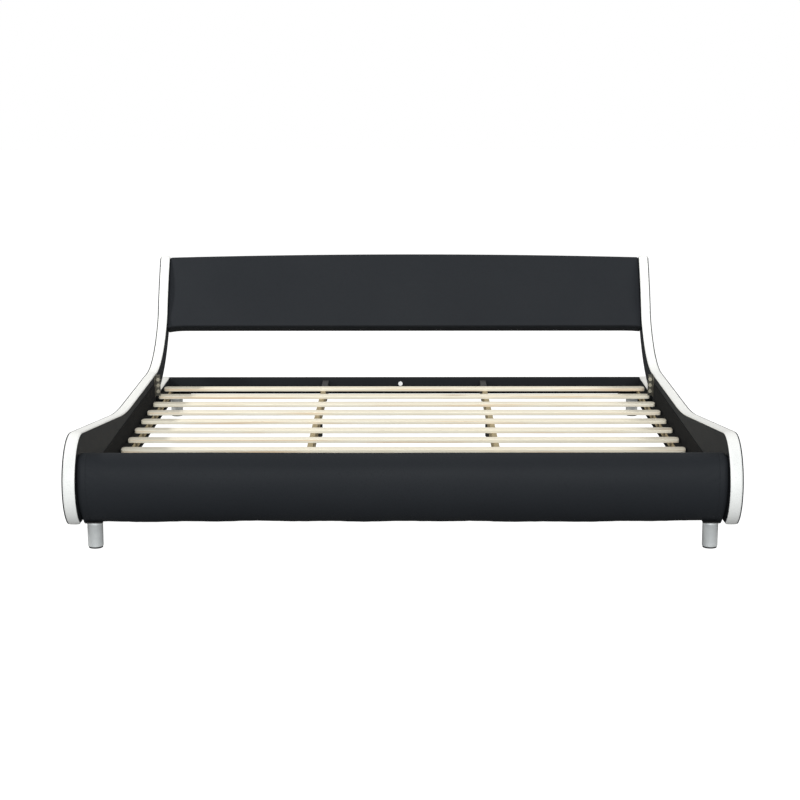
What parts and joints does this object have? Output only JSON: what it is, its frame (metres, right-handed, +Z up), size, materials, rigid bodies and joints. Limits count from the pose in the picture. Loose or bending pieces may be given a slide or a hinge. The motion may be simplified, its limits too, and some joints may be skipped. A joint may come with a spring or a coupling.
{
  "type": "sleigh bed",
  "caption": "Low king-size bed frame with S-curved padded side panels, a bowed footboard, a leaning headboard panel and a slatted deck on short metal legs.",
  "frame": {"origin": "middle of the footprint, on the floor", "axes": "+X to the right seen from the foot, +Y from foot to head, +Z up"},
  "size_m": [2.07, 2.3951, 0.6542],
  "materials": {
    "black_leather": "soft satin imitation leather with a fine grain",
    "white_leather": "smooth white imitation leather",
    "black_lining": "matt black non-woven lining",
    "pine": "planed pale pine, unvarnished",
    "pine_batten": "sawn pine",
    "plywood": "raw plywood",
    "satin_metal": "satin silver",
    "zinc_steel": "zinc plated",
    "black_metal": "black powder coat",
    "black_plastic": "moulded, matt",
    "white_plastic": "moulded, semi-gloss"
  },
  "bodies": {
    "root": {"back_rail_board": "plywood", "back_rail_cap": "white_plastic", "back_rail_cover": "black_leather", "beam_hangers": "black_metal", "corner_blocks": "plywood", "floor_glides": "black_plastic", "footboard_back_panel": "plywood", "footboard_board": "plywood", "footboard_pad": "black_leather", "headboard_back_cover": "black_lining", "headboard_board": "plywood", "headboard_pad": "black_leather", "headboard_ties": "black_metal", "joint_angles": "zinc_steel", "joint_fasteners": "zinc_steel", "ledge_battens": "pine_batten", "left_centre_beam": "pine_batten", "left_centre_leg": "black_metal", "left_front_leg": "satin_metal", "left_rail_band": "white_leather", "left_rail_board": "plywood", "left_rail_inner_pad": "black_leather", "left_rail_ledge": "black_lining", "left_rail_lining": "black_lining", "left_rail_outer_pad": "black_leather", "left_rear_leg": "satin_metal", "left_wing_band": "white_leather", "left_wing_board": "plywood", "left_wing_inner_pad": "black_leather", "left_wing_ledge": "black_lining", "left_wing_outer_pad": "black_leather", "leg_plates": "black_metal", "rear_bands": "white_leather", "right_centre_beam": "pine_batten", "right_centre_leg": "black_metal", "right_front_leg": "satin_metal", "right_rail_band": "white_leather", "right_rail_board": "plywood", "right_rail_inner_pad": "black_leather", "right_rail_ledge": "black_lining", "right_rail_lining": "black_lining", "right_rail_outer_pad": "black_leather", "right_rear_leg": "satin_metal", "right_wing_band": "white_leather", "right_wing_board": "plywood", "right_wing_inner_pad": "black_leather", "right_wing_ledge": "black_lining", "right_wing_outer_pad": "black_leather", "slat_01": "pine", "slat_02": "pine", "slat_03": "pine", "slat_04": "pine", "slat_05": "pine", "slat_06": "pine", "slat_07": "pine", "slat_08": "pine", "slat_09": "pine", "slat_10": "pine", "slat_11": "pine", "slat_12": "pine"}
  },
  "joints": []
}
